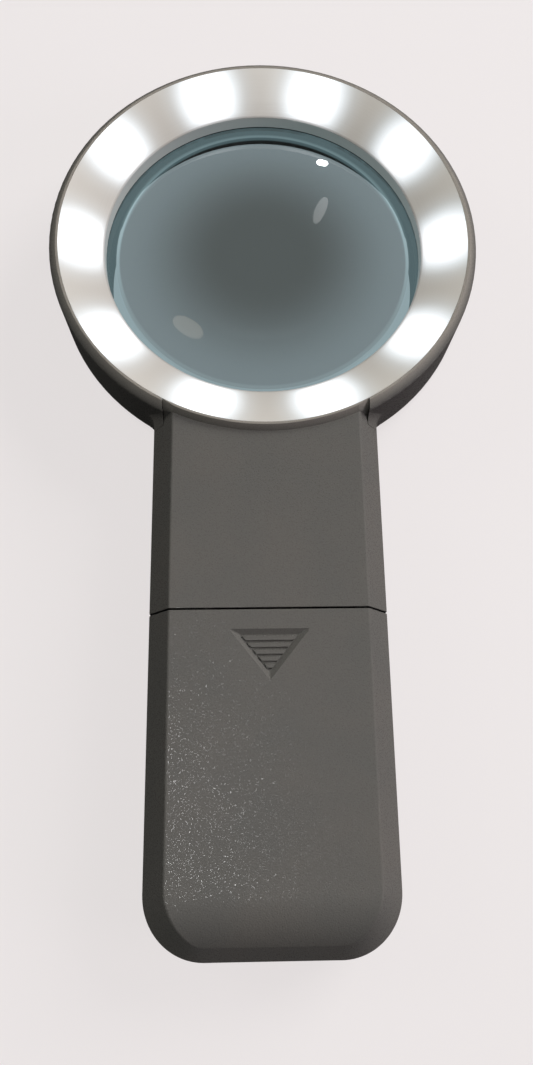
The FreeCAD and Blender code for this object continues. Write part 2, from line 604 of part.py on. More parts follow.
# ---- Covers --------------------------------------------------------------------------------------
def make_neck_cover():
    low = PART_LINE_Z + FIT_GAP
    shell = outer_handle(NECK_SHELL_Y).cut(handle_form(WALL, IN_DRUM_Y))
    half = HORN_HALF_GAP - FIT_GAP / 2
    room = join([block(-OUTSIDE, OUTSIDE, SEAM_Y + SEAM_GAP / 2, HORN_Y, low, OPEN_Z),
                 block(-half, half, HORN_Y - 1, TONGUE_TOP_Y, low, OPEN_Z)])
    cover = join([shell.common(room), neck_band().common(room)])
    bosses = [disc(x, y, BOSS_TOP_Z + FIT_GAP, THICKNESS - COVER_BOSS_REACH, COVER_BOSS_RADIUS)
              for x, y in HOUSING_SCREWS]
    bored = BORE_DEPTH + SCREW_LENGTH + TIP_GAP
    cuts = [disc(x, y, BOSS_TOP_Z, bored, SCREW_SHANK + THREAD_GAP) for x, y in HOUSING_SCREWS]
    cover = cut_all(join([cover] + bosses), cuts + [disc(0, HEAD_Y, 0, OPEN_Z, RIM_INNER_RADIUS)])
    return soften_seam(cover, SEAM_Y + SEAM_GAP / 2)


def grip_outline(inset, z):
    """The grip triangle's outline at a height, drawn in by inset."""
    half = GRIP_HALF_WIDTH - inset * (GRIP_HALF_WIDTH + GRIP_SIDE) / GRIP_HEIGHT
    apex_y = GRIP_TOP_Y - GRIP_HEIGHT + inset * GRIP_SIDE / GRIP_HALF_WIDTH
    return polygon([(-half, GRIP_TOP_Y - inset, z), (half, GRIP_TOP_Y - inset, z), (0, apex_y, z)])


def grip_triangle():
    """The sunken triangle with sloping sides, less the cross ridges that are left standing in it."""
    z = THICKNESS - GRIP_DEPTH
    sunk = Part.makeLoft([grip_outline(GRIP_BEVEL, z), grip_outline(0, THICKNESS)], True, True)
    corners = [e for e in sunk.Edges if e.BoundBox.ZLength > GRIP_DEPTH / 2]
    sunk = sunk.makeFillet(GRIP_CORNER, corners)
    within = Part.Face(grip_outline(GRIP_BEVEL + GRIP_MARGIN, z)).extrude(Z_AXIS)
    foot, crest = GRIP_RIDGE / 2, GRIP_RIDGE / 2 - GRIP_RIDGE_SLOPE
    ridges = []
    for k in range(GRIP_RIDGES):
        y = GRIP_TOP_Y - GRIP_BEVEL - GRIP_MARGIN - GRIP_RIDGE / 2 - k * GRIP_RIDGE_PITCH
        top = z + GRIP_RIDGE_RISE
        section = [(y - foot, z), (y + foot, z), (y + crest, top), (y - crest, top)]
        ridge = prism([(-GRIP_HALF_WIDTH, v, w) for v, w in section], X_AXIS * (2 * GRIP_HALF_WIDTH))
        ridges.append(ridge.common(within))
    return sunk.cut(ridges)


def make_battery_cover():
    shell = outer_handle(HEAD_Y).cut(handle_form(WALL, HEAD_Y + PAST))
    room = block(-OUTSIDE, OUTSIDE, END_Y - PAST, SEAM_Y - SEAM_GAP / 2, PART_LINE_Z + COVER_LIFT, OPEN_Z)
    beads = []
    for side in (-1, 1):
        x0, x1 = sorted((side * BEAD_X, side * (INNER_HALF_WIDTH + ROOT)))
        beads.append(block(x0, x1, RAIL_START_Y, BAY_TOP_Y - BEAD_STOP, *BEAD_Z))
    cover = soften_seam(join([shell.common(room)] + beads), SEAM_Y - SEAM_GAP / 2)
    return cover.cut(grip_triangle()).removeSplitter()


# ---- Light and lens ------------------------------------------------------------------------------
def ring_height(radius):
    """The lit ring's face, a cone between its inner and outer edges."""
    share = (radius - RING_INNER_RADIUS) / (RING_OUTER_RADIUS - RING_INNER_RADIUS)
    return RING_INNER_Z + share * (RIM_Z - RING_INNER_Z)


def make_diffuser_ring():
    inner_skirt = RING_INNER_RADIUS + RING_SKIRT
    outer_skirt = RING_OUTER_RADIUS - RING_SKIRT
    return revolve(chain([
        (RING_INNER_RADIUS, RING_INNER_Z), (RING_OUTER_RADIUS, RIM_Z), (RING_OUTER_RADIUS, DRUM_LEDGE_Z),
        (outer_skirt, DRUM_LEDGE_Z), (outer_skirt, ring_height(outer_skirt) - RING_THICKNESS),
        (inner_skirt, ring_height(inner_skirt) - RING_THICKNESS),
        (inner_skirt, RING_FOOT_Z), (RING_INNER_RADIUS, RING_FOOT_Z)]), HEAD_Y)


def dome(z, way):
    """A lens face's arc, from its crown on the axis out to the flange."""
    radius = (LENS_LAND_INNER ** 2 + LENS_SAG ** 2) / (2 * LENS_SAG)
    half = LENS_LAND_INNER / 2
    rise = math.sqrt(radius ** 2 - half ** 2) - (radius - LENS_SAG)
    return Part.Arc(Vec(0, 0, z + way * LENS_SAG), Vec(half, 0, z + way * rise),
                    Vec(LENS_LAND_INNER, 0, z)).toShape()


def make_lens():
    """Biconvex, with a flat flange round it that is clamped between the tube and the gasket."""
    outline = [Vec(LENS_LAND_INNER, 0, LENS_TOP), Vec(LENS_RADIUS, 0, LENS_TOP),
               Vec(LENS_RADIUS, 0, LENS_SEAT_Z), Vec(LENS_LAND_INNER, 0, LENS_SEAT_Z)]
    axis = Part.makeLine(Vec(0, 0, LENS_SEAT_Z - LENS_SAG), Vec(0, 0, LENS_TOP + LENS_SAG))
    flange = [Part.makeLine(a, b) for a, b in zip(outline, outline[1:])]
    return revolve([axis, dome(LENS_TOP, 1)] + flange + [dome(LENS_SEAT_Z, -1)], HEAD_Y)


def make_lens_gasket():
    return hollow_disc(HEAD_Y, LENS_TOP, RING_FOOT_Z, RING_INNER_RADIUS + GASKET_GAP, LENS_RADIUS)


def make_led_board():
    board = hollow_disc(HEAD_Y, LED_BOARD_Z, LED_BOARD_TOP, LED_BOARD_INNER, LED_BOARD_OUTER)
    return cut_all(board, [disc(x, y, LED_BOARD_Z - 1, LED_BOARD_TOP + 1, SMALL_SHANK + HOLE_GAP)
                           for x, y in lamp_board_screws()])


def round_the_ring(shape, offset):
    """Copies of a shape at the top of the head, one for each lamp, as one group."""
    step = 360 / LED_COUNT
    return Part.makeCompound([turned(shape, step / 2 + step * k + offset) for k in range(LED_COUNT)])


def chip(size, radius):
    """A block on the lamp board at the top of the head."""
    wide, deep, tall = size
    y = HEAD_Y + radius
    return block(-wide / 2, wide / 2, y - deep / 2, y + deep / 2, LED_BOARD_TOP, LED_BOARD_TOP + tall)


def make_led_packages():
    well = disc(0, HEAD_Y + LED_RADIUS, LED_TOP - LED_WELL_DEPTH, LED_TOP + 1, LED_WELL_RADIUS)
    return round_the_ring(chip(LED_SIZE, LED_RADIUS).cut(well), 0)


def make_led_phosphors():
    return round_the_ring(disc(0, HEAD_Y + LED_RADIUS, LED_TOP - LED_WELL_DEPTH, LED_TOP - PHOSPHOR_SINK,
                               LED_WELL_RADIUS - PHOSPHOR_GAP), 0)


def make_led_resistors():
    return round_the_ring(chip(RESISTOR_SIZE, BOARD_SCREW_RADIUS), RESISTOR_TURN)


# ---- Power ---------------------------------------------------------------------------------------
def plate(x0, x1, face_y, way):
    """A contact sheet set into a bulkhead; way points from the sheet to the cells."""
    y0, y1 = sorted((face_y, face_y - way * PLATE))
    return block(x0, x1, y0, y1, PLATE_FOOT_Z, BULKHEAD_TOP_Z if way < 0 else END_PLATE_TOP_Z)


def dimple(x, face_y, way):
    return Part.makeCone(*DIMPLE_RADII, DIMPLE, Vec(x, face_y, CELL_Z), Y_AXIS * way)


def plate_spans():
    """Each contact sheet: its node, its x limits, the bulkhead face it sits in and its way."""
    west, middle, east = CELL_X
    return {
        "contact_positive": (west - PLATE_HALF, west + PLATE_HALF, BAY_TOP_Y, -1),
        "contact_bridge_top": (middle - PLATE_HALF, east + PLATE_HALF, BAY_TOP_Y, -1),
        "contact_bridge_end": (west - PLATE_HALF, middle + PLATE_HALF, BAY_END_Y, 1),
        "contact_negative": (east - PLATE_HALF, east + PLATE_HALF, BAY_END_Y, 1)}


def plate_pockets():
    """Pockets in the bulkheads, open at the top, that the sheets drop into."""
    pockets = []
    for x0, x1, face_y, way in plate_spans().values():
        y0, y1 = sorted((face_y + way, face_y - way * (PLATE + PLATE_GAP)))
        pockets.append(block(x0 - PLATE_GAP, x1 + PLATE_GAP, y0, y1, PLATE_FOOT_Z - PLATE_GAP,
                             BULKHEAD_TOP_Z + 1))
    return pockets


def make_contact(node):
    x0, x1, face_y, way = plate_spans()[node]
    sheet = plate(x0, x1, face_y, way)
    if node == "contact_positive":
        tab = block(TAB_X - TAB_HALF, TAB_X + TAB_HALF, BAY_TOP_Y, BAY_TOP_Y + BULKHEAD + TAB_REACH,
                    BULKHEAD_TOP_Z, BULKHEAD_TOP_Z + PLATE)
        return join([sheet, dimple(CELL_X[0], face_y, way), tab])
    if node == "contact_bridge_top":
        return join([sheet, dimple(CELL_X[2], face_y, way)])
    if node == "contact_bridge_end":
        return join([sheet, dimple(CELL_X[1], face_y, way)])
    return sheet


def cell_way(index):
    """The outer cells' nubs point to the head and the middle cell's to the handle's end."""
    return -1 if index == 1 else 1


def cell_nub_y(index):
    return CELL_END_Y if index == 1 else CELL_TOP_Y


def make_cell(index):
    """The wrapped can, with its edges rounded."""
    way = cell_way(index)
    start = Vec(CELL_X[index], cell_nub_y(index) - way * CELL_LENGTH, CELL_Z)
    can = Part.makeCylinder(CELL_RADIUS, CELL_LENGTH - CELL_NUB_LENGTH, start, Y_AXIS * way)
    rims = [e for e in can.Edges if e.Curve.TypeId == "Part::GeomCircle"]
    return can.makeFillet(CELL_EDGE, rims)


def make_cell_cap(index):
    way, top = cell_way(index), cell_nub_y(index)
    start = Vec(CELL_X[index], top - way * CELL_NUB_LENGTH, CELL_Z)
    nub = Part.makeCylinder(CELL_NUB_RADIUS, CELL_NUB_LENGTH, start, Y_AXIS * way)
    circles = [e for e in nub.Edges if e.Curve.TypeId == "Part::GeomCircle"]
    return nub.makeFillet(CELL_NUB_EDGE, [e for e in circles if abs(e.CenterOfMass.y - top) < TOUCH])


def make_spring(index):
    """A conical spring from the contact sheet to the flat end of a cell."""
    way = cell_way(index)
    foot = (BAY_TOP_Y if index == 1 else BAY_END_Y) + way * (SPRING_WIRE + SPRING_CLEARANCE)
    tip = cell_nub_y(index) - way * (CELL_LENGTH + SPRING_WIRE + SPRING_CLEARANCE)
    count = SPRING_TURNS * SPRING_ARCS_PER_TURN

    def place(step):
        share = step / count
        radius = SPRING_RADII[0] + (SPRING_RADII[1] - SPRING_RADII[0]) * share
        turn = 2 * math.pi * step / SPRING_ARCS_PER_TURN
        return Vec(CELL_X[index] + radius * math.cos(turn), foot + (tip - foot) * share,
                   CELL_Z + radius * math.sin(turn))

    arcs = [Part.Arc(place(k), place(k + 0.5), place(k + 1)).toShape() for k in range(count)]
    section = Part.Wire(Part.makeCircle(SPRING_WIRE, place(0), arcs[0].tangentAt(arcs[0].FirstParameter)))
    return Part.Wire(arcs).makePipeShell([section], True, False)


# ---- Switch --------------------------------------------------------------------------------------
# The knob, slider and wiper are drawn where they stand when the lamp is on.
def make_switch_knob():
    cap = centred(KNOB_HALF, ON_Y, *KNOB_Z)
    cap = cap.makeFillet(KNOB_CORNER, [e for e in cap.Edges if abs(e.tangentAt(0).z) > 1 - TOUCH])
    cap = cap.makeFillet(KNOB_EDGE, [e for e in cap.Edges if e.BoundBox.ZMax < KNOB_Z[0] + TOUCH])
    half = (KNOB_HALF[0] - KNOB_GROOVE_MARGIN, KNOB_GROOVE / 2)
    middle = (KNOB_GROOVES - 1) / 2
    grooves = [centred(half, ON_Y + (k - middle) * KNOB_GROOVE_PITCH, 0, KNOB_Z[0] + KNOB_GROOVE_DEPTH)
               for k in range(KNOB_GROOVES)]
    stem = centred(STEM_HALF, ON_Y, KNOB_Z[1] - ROOT, STEM_TOP_Z)
    ears = centred(EAR_HALF, ON_Y, *EAR_Z)
    fork = centred(grown(POST_HALF, POST_PLAY), ON_Y, FORK_FLOOR_Z, STEM_TOP_Z + 1)
    return cut_all(join([cap, stem, ears]), grooves + [fork])


def make_switch_frame():
    box = centred(FRAME_HALF, SWITCH_Y, *FRAME_Z)
    room = centred(grown(FRAME_HALF, -FRAME_SHEET), SWITCH_Y, FRAME_Z[0] + FRAME_SHEET, FRAME_Z[1] + 1)
    slot_x, slot_y = grown(POST_HALF, FRAME_SLOT_PLAY)
    slot = centred((slot_x, slot_y + SWITCH_TRAVEL / 2), SWITCH_Y, FRAME_Z[0] - 1, FRAME_Z[0] + 1)
    return cut_all(box, [room, slot])


def make_switch_slider():
    return join([centred(SLIDER_HALF, ON_Y, *SLIDER_Z),
                 centred(POST_HALF, ON_Y, POST_FOOT_Z, SLIDER_Z[1] - 1)])


def make_switch_wiper():
    """A sprung strip on the slider that bridges two terminals."""
    strip = centred(WIPER_HALF, ON_Y, *WIPER_Z)
    feet = [centred((WIPER_HALF[0], WIPER_FOOT_HALF), ON_Y + way * WIPER_FOOT_Y, SLIDER_Z[1], WIPER_Z[1])
            for way in (-1, 1)]
    return join([strip] + feet)


def at_terminals(half, z0, z1):
    return [centred(half, SWITCH_Y + k * TERMINAL_PITCH, z0, z1) for k in (-1, 0, 1)]


def make_switch_base():
    half = grown(FRAME_HALF, -FRAME_SHEET)
    return cut_all(centred(half, SWITCH_Y, FRAME_Z[1] - SWITCH_BASE, FRAME_Z[1]),
                   at_terminals(TERMINAL_HALF, 0, OPEN_Z))


def make_switch_terminals():
    return Part.makeCompound(at_terminals(TERMINAL_HALF, *TERMINAL_Z))


def make_switch_board():
    board = centred(SWITCH_BOARD_HALF, SWITCH_Y, SWITCH_BOARD_Z, SWITCH_BOARD_TOP)
    cuts = at_terminals(grown(TERMINAL_HALF, TERMINAL_GAP), 0, OPEN_Z)
    cuts += [disc(x, y, 0, OPEN_Z, SMALL_SHANK + HOLE_GAP) for x, y in SWITCH_SCREWS]
    return cut_all(board, cuts)


# ---- Fasteners and wires -------------------------------------------------------------------------
def make_housing_screws():
    return Part.makeCompound([screw(x, y, BORE_DEPTH, *SCREW_HEAD, SCREW_SHANK, SCREW_LENGTH, 1)
                              for x, y in HOUSING_SCREWS])


def small_screws(places, seat_z):
    return Part.makeCompound([screw(x, y, seat_z, *SMALL_HEAD, SMALL_SHANK, SMALL_LENGTH, -1)
                              for x, y in places])


def make_wire_positive():
    """From the positive tab to the switch board."""
    z = BULKHEAD_TOP_Z - WIRE_RADIUS - PLATE_GAP
    return tube([(TAB_X, BAY_TOP_Y + BULKHEAD + WIRE_PLAY, z), (TAB_X, POSITIVE_TURN_Y, z),
                 (-LEAD_X, POSITIVE_PAD_Y, z), (-LEAD_X, POSITIVE_PAD_Y, SWITCH_BOARD_TOP + SOLDER_GAP)],
                WIRE_RADIUS, WIRE_BEND)


def make_wire_switched():
    """From the switch board over its edge and under the lamp board."""
    drop_start, drop_end = SWITCHED_DROP_Y
    return tube([(LEAD_X, SWITCHED_PAD_Y, SWITCH_BOARD_TOP + SOLDER_GAP),
                 (LEAD_X, SWITCHED_PAD_Y, SWITCHED_HIGH_Z), (LEAD_X, drop_start, SWITCHED_HIGH_Z),
                 (LEAD_X, drop_end, SWITCHED_LOW_Z), (LEAD_X, SWITCHED_END_Y, SWITCHED_LOW_Z),
                 (LEAD_X, SWITCHED_END_Y, LED_BOARD_Z - SOLDER_GAP)], WIRE_RADIUS, WIRE_BEND)


def make_wire_negative():
    """From the negative sheet, between two cells and past the switch, to the lamp board."""
    x = CELL_X[2] - PLATE_HALF + 1
    dip, level = RETURN_DIP_YS
    bay_y, turn_y, end_y = RETURN_YS
    return tube([(x, BAY_END_Y + SOLDER_GAP, RETURN_LOW_Z), (x, BAY_END_Y + dip, RETURN_LOW_Z),
                 (GUTTER_X, BAY_END_Y + level, GUTTER_Z), (GUTTER_X, bay_y, GUTTER_Z),
                 (RETURN_SIDE_X, turn_y, GUTTER_Z), (RETURN_SIDE_X, end_y, GUTTER_Z),
                 (RETURN_SIDE_X, end_y, LED_BOARD_Z - SOLDER_GAP)], WIRE_RADIUS, RETURN_BEND)


# ---- The assembly --------------------------------------------------------------------------------
def all_nodes():
    nodes = {
        "rear_housing": make_rear_housing(), "neck_cover": make_neck_cover(),
        "battery_cover": make_battery_cover(), "diffuser_ring": make_diffuser_ring(),
        "lens": make_lens(), "lens_gasket": make_lens_gasket(),
        "led_board": make_led_board(), "led_packages": make_led_packages(),
        "led_phosphors": make_led_phosphors(), "led_resistors": make_led_resistors(),
        "switch_knob": make_switch_knob(), "switch_frame": make_switch_frame(),
        "switch_slider": make_switch_slider(), "switch_wiper": make_switch_wiper(),
        "switch_base": make_switch_base(), "switch_terminals": make_switch_terminals(),
        "switch_board": make_switch_board(), "housing_screws": make_housing_screws(),
        "led_board_screws": small_screws(lamp_board_screws(), LED_BOARD_TOP),
        "switch_board_screws": small_screws(SWITCH_SCREWS, SWITCH_BOARD_TOP),
        "wire_positive": make_wire_positive(), "wire_switched": make_wire_switched(),
        "wire_negative": make_wire_negative()}
    for node in plate_spans():
        nodes[node] = make_contact(node)
    for index in range(len(CELL_X)):
        nodes[f"battery_{index + 1}"] = make_cell(index)
        nodes[f"battery_{index + 1}_cap"] = make_cell_cap(index)
        nodes[f"contact_spring_{index + 1}"] = make_spring(index)
    return nodes


os.makedirs("parts", exist_ok=True)
for name, shape in all_nodes().items():
    if not shape.isValid() or not shape.Solids:
        raise RuntimeError("not a sound solid: " + name)
    shape.exportStep(f"parts/{name}.step")
    print(name, len(shape.Solids), "solids", round(shape.Volume, 1), "mm3")
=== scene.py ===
import math

import bpy
from mathutils import Matrix, Vector


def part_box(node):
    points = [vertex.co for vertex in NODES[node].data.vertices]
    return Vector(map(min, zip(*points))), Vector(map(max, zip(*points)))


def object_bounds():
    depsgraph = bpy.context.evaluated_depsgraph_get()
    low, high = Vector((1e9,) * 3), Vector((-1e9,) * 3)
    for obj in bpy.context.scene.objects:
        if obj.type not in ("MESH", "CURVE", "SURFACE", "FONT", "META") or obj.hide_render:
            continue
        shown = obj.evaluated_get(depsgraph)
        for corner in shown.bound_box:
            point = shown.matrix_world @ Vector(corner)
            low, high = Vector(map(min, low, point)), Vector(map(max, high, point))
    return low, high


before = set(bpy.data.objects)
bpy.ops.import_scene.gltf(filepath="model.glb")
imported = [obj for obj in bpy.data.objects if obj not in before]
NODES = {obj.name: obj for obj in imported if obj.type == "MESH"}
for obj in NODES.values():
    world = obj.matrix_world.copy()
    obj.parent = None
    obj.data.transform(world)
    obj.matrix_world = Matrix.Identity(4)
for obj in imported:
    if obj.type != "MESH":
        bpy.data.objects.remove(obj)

# A handheld illuminated magnifier, lying on its back with its lamps lit. Everything is in metres in
# the CAD model's own frame: +Y from the handle's end to the head, +Z out of the lit side.

CAD_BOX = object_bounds()
MM = 0.001

# ---- Places read from the frame -----------------------------------------------------------------
RING_LOW, RING_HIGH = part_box("diffuser_ring")
HEAD_X = (RING_LOW[0] + RING_HIGH[0]) / 2
HEAD_Y = (RING_LOW[1] + RING_HIGH[1]) / 2
RING_OUTER = (RING_HIGH[0] - RING_LOW[0]) / 2
RING_TOP = RING_HIGH[2]
RING_FACE_DROP = 5.5 * MM       # how far the lit face falls from the rim to the lens
RING_FACE_LOW = RING_TOP - RING_FACE_DROP
GASKET_LOW, GASKET_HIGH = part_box("lens_gasket")
GASKET_OVERLAP = 1.5 * MM       # the gasket is this much larger than the ring's opening, in radius
RING_INNER = (GASKET_HIGH[0] - GASKET_LOW[0]) / 2 - GASKET_OVERLAP
COVER_EDGE_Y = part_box("battery_cover")[1][1]
NECK_EDGE_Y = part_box("neck_cover")[0][1]
SEAM_Y = (COVER_EDGE_Y + NECK_EDGE_Y) / 2
SEAM_GAP = NECK_EDGE_Y - COVER_EDGE_Y
LED_COUNT = 10


# ---- Node-tree helpers --------------------------------------------------------------------------
NOISE_BAND = (0.3, 0.7)         # nearly all of a noise texture's values lie in here
NOISE_CORE = (0.35, 0.65)       # and most of them in here


class Tree:
    """A material's node tree, with short ways to add and join nodes."""

    def __init__(self, name):
        self.material = bpy.data.materials.new(name)
        self.material.use_nodes = True
        self.nodes = self.material.node_tree.nodes
        self.links = self.material.node_tree.links
        self.shader = self.nodes["Principled BSDF"]
        self.place = self.add("ShaderNodeTexCoord").outputs["Object"]

    def add(self, kind, **settings):
        node = self.nodes.new(kind)
        for key, value in settings.items():
            setattr(node, key, value)
        return node

    def feed(self, socket, value):
        if isinstance(value, bpy.types.NodeSocket):
            self.links.new(value, socket)
        else:
            socket.default_value = value

    def math(self, operation, a, b=0.0):
        node = self.add("ShaderNodeMath", operation=operation)
        self.feed(node.inputs[0], a)
        self.feed(node.inputs[1], b)
        return node.outputs[0]

    def length(self, a, b):
        """The length of a flat vector with these two parts."""
        squares = self.math("ADD", self.math("MULTIPLY", a, a), self.math("MULTIPLY", b, b))
        return self.math("SQRT", squares)

    def split(self, vector):
        node = self.add("ShaderNodeSeparateXYZ")
        self.feed(node.inputs[0], vector)
        return node.outputs

    def noise(self, scale, detail=2.0, roughness=0.5):
        node = self.add("ShaderNodeTexNoise")
        self.feed(node.inputs["Vector"], self.place)
        self.feed(node.inputs["Scale"], scale)
        self.feed(node.inputs["Detail"], detail)
        self.feed(node.inputs["Roughness"], roughness)
        return node.outputs["Fac"]

    def spread(self, value, low, high, out_low=0.0, out_high=1.0, smooth=False):
        """Maps low..high onto out_low..out_high and holds the ends."""
        node = self.add("ShaderNodeMapRange", interpolation_type="SMOOTHSTEP" if smooth else "LINEAR")
        keys = ("Value", "From Min", "From Max", "To Min", "To Max")
        for key, number in zip(keys, (value, low, high, out_low, out_high)):
            self.feed(node.inputs[key], number)
        return node.outputs["Result"]

    def mix(self, factor, a, b):
        """Blends two colours."""
        node = self.add("ShaderNodeMix", data_type="RGBA")
        self.feed(node.inputs[0], factor)
        for socket, colour in ((node.inputs[6], a), (node.inputs[7], b)):
            self.feed(socket, colour if isinstance(colour, bpy.types.NodeSocket) else (*colour, 1.0))
        return node.outputs[2]

    def bump(self, height, strength, distance):
        node = self.add("ShaderNodeBump")
        self.feed(node.inputs["Height"], height)
        self.feed(node.inputs["Strength"], strength)
        self.feed(node.inputs["Distance"], distance)
        return node.outputs["Normal"]

    def tilted(self, normal, direction, where, amount):
        """Turns the normal towards a random direction, only where asked."""
        centred = self.add("ShaderNodeVectorMath", operation="SUBTRACT")
        self.feed(centred.inputs[0], direction)
        self.feed(centred.inputs[1], (0.5, 0.5, 0.5))
        push = self.add("ShaderNodeVectorMath", operation="SCALE")
        self.feed(push.inputs[0], centred.outputs[0])
        self.feed(push.inputs["Scale"], self.math("MULTIPLY", where, amount))
        total = self.add("ShaderNodeVectorMath", operation="ADD")
        self.feed(total.inputs[0], normal)
        self.feed(total.inputs[1], push.outputs[0])
        unit = self.add("ShaderNodeVectorMath", operation="NORMALIZE")
        self.feed(unit.inputs[0], total.outputs[0])
        return unit.outputs[0]

    def set(self, **values):
        """Sets the shader's inputs; an underscore stands for the space in an input's name."""
        for key, value in values.items():
            self.feed(self.shader.inputs[key.replace("_", " ")], value)


def give(material, names):
    """Puts a material on CAD nodes in place of their packed one."""
    for name in names:
        node = NODES[name]
        node.data.materials.clear()
        node.data.materials.append(material)


def head_polar(tree):
    """Radius from the head's axis and the angle round it, in metres and radians."""
    x, y = tree.split(tree.place)[:2]
    across = tree.math("SUBTRACT", x, HEAD_X)
    along = tree.math("SUBTRACT", y, HEAD_Y)
    return tree.length(across, along), tree.math("ARCTAN2", across, along)


# ---- Moulded plastic ----------------------------------------------------------------------------
PLASTIC = (0.106, 0.104, 0.094)
PLASTIC_WARM = (0.114, 0.109, 0.097)
PLASTIC_RUBBED = (0.142, 0.139, 0.128)
KNOB = (0.035, 0.034, 0.033)
KNOB_WARM = (0.042, 0.04, 0.038)
MOTTLE_CELLS = 70               # per metre, as are the other cell counts
GRAIN_CELLS = 3400
GRAIN_TOPS = (0.58, 0.78)
GRAIN_RUBBED = 0.35             # how far the grain's tops turn to the rubbed colour
GRAIN_ROUGHNESS = (0.66, 0.52)  # in the grain's hollows and on its tops
GRAIN_BUMP = 0.30
GRAIN_HEIGHT = 0.1 * MM
GLINT_CELLS = 3500
GLINT_PICK = 0.45               # cells that draw a number above this hold a crystal
GLINT_RADIUS = 0.42             # of a cell
GLINT_ROUGHNESS = 0.36          # a share of the grain's roughness
GLINT_TILT = 0.18
PLASTIC_SHINE = 0.40

# painted light from the ring on the plastic beside it, and painted shade on the faces in the covers'
# seam; the shade also marks the rear housing across the same line
SPILL = (0.40, 0.37, 0.315)
SPILL_RADII = (RING_OUTER + 0.2 * MM, RING_OUTER + 1.9 * MM)
SPILL_HEIGHTS = (RING_TOP - 2.4 * MM, RING_TOP - 1.2 * MM)
SPILL_SHARE = 0.55
SEAM_PAINTED_SHADE = (0.004, 0.004, 0.004)
SEAM_SHADE_REACH = (SEAM_GAP * 0.52, SEAM_GAP * 0.75)     # from the seam's middle: full painted shade, then none


def moulded_plastic(name, base, warm, with_painted_light_and_shade=True):
    """Spark-eroded matte plastic with a fine grain and small flat crystals that catch the light."""
    tree = Tree(name)
    grain = tree.noise(GRAIN_CELLS)
    mottle = tree.noise(MOTTLE_CELLS, 4.0, 0.6)
    colour = tree.mix(tree.spread(mottle, *NOISE_CORE), base, warm)
    rubbed = tree.math("MULTIPLY", tree.spread(grain, *GRAIN_TOPS), GRAIN_RUBBED)
    colour = tree.mix(rubbed, colour, PLASTIC_RUBBED)
    # painted light from the ring and painted shade along the covers' seam
    if with_painted_light_and_shade:
        colour = painted_spill_and_seam_shade(tree, colour)
    cells = tree.add("ShaderNodeTexVoronoi")
    tree.feed(cells.inputs["Vector"], tree.place)
    tree.feed(cells.inputs["Scale"], GLINT_CELLS)
    draw = cells.outputs["Color"]
    picked = tree.math("GREATER_THAN", tree.split(draw)[0], GLINT_PICK)
    core = tree.math("LESS_THAN", cells.outputs["Distance"], GLINT_RADIUS)
    crystal = tree.math("MULTIPLY", picked, core)
    rough = tree.spread(grain, *NOISE_BAND, *GRAIN_ROUGHNESS)
    rough = tree.math("MULTIPLY", rough, tree.spread(crystal, 0.0, 1.0, 1.0, GLINT_ROUGHNESS))
    normal = tree.bump(grain, GRAIN_BUMP, GRAIN_HEIGHT)
    normal = tree.tilted(normal, draw, crystal, GLINT_TILT)
    tree.set(Base_Color=colour, Roughness=rough, Normal=normal, Specular_IOR_Level=PLASTIC_SHINE)
    return tree.material


def painted_spill_and_seam_shade(tree, colour):
    """Painted warm light from the ring on the plastic's upper edge beside it, and painted shade in the
    covers' seam.
    """
    radius = head_polar(tree)[0]
    y, z = tree.split(tree.place)[1:]
    # painted light from the ring, near its outer edge and high up
    beside = tree.spread(radius, *SPILL_RADII, 1.0, 0.0)
    high = tree.spread(z, *SPILL_HEIGHTS)
    lit = tree.math("MULTIPLY", tree.math("MULTIPLY", beside, high), SPILL_SHARE)
    # painted shade in the covers' seam, also on the rear housing across that line
    off_seam = tree.math("ABSOLUTE", tree.math("SUBTRACT", y, SEAM_Y))
    inside = tree.spread(off_seam, *SEAM_SHADE_REACH, 1.0, 0.0)
    return tree.mix(inside, tree.mix(lit, colour, SPILL), SEAM_PAINTED_SHADE)


# ---- The lit ring -------------------------------------------------------------------------------
SILVER = (0.28, 0.268, 0.25)
SILVER_GLOW = (0.84, 0.80, 0.71)
LAMP_HALO = (0.80, 0.92, 1.0)
LAMP_WHITE = (0.97, 0.985, 1.0)
LAMP_SHARE = 0.47               # of the way from the ring's inner edge to its outer one
LAMP_RADIUS = RING_INNER + LAMP_SHARE * (RING_OUTER - RING_INNER)
LAMP_FLATTENED = 0.9            # the glow spots are longer across the ring than along it
CORE_REACH = (2.6 * MM, 10.0 * MM)
CORE_GLOW = 0.66
HALO_REACH = (4.0 * MM, 13.2 * MM)
HALO_GLOW = 0.24
BETWEEN_GLOW = (0.25, 0.35)     # between the lamps, at the inner and at the outer edge
INNER_EDGE_GLOW = 0.55          # the share of the lamps' glow that is left at the inner edge
INNER_EDGE_REACH = 0.16         # of the ring's width
INNER_LINE = (0.012, 0.05)      # of the ring's width: painted shade, a dark line right at the inner edge
INNER_LINE_GLOW = 0.35
SILVER_ROUGHNESS = 0.32
TURNED_LINES = 5200             # per metre of radius
LINES_REACH = 0.35              # of the ring's width: the lines fade over this much,
LINES_LEFT = 0.25               # down to this share
LINE_GLOW = (0.92, 1.08)
LINE_BUMP = 0.15
LINE_HEIGHT = 0.06 * MM
SKIRT_TINT = (0.52, 0.66, 0.66)     # the wall below the lit face, down to the lens
SKIRT_GLOW = 0.14
SKIRT_BLEND = 0.35 * MM


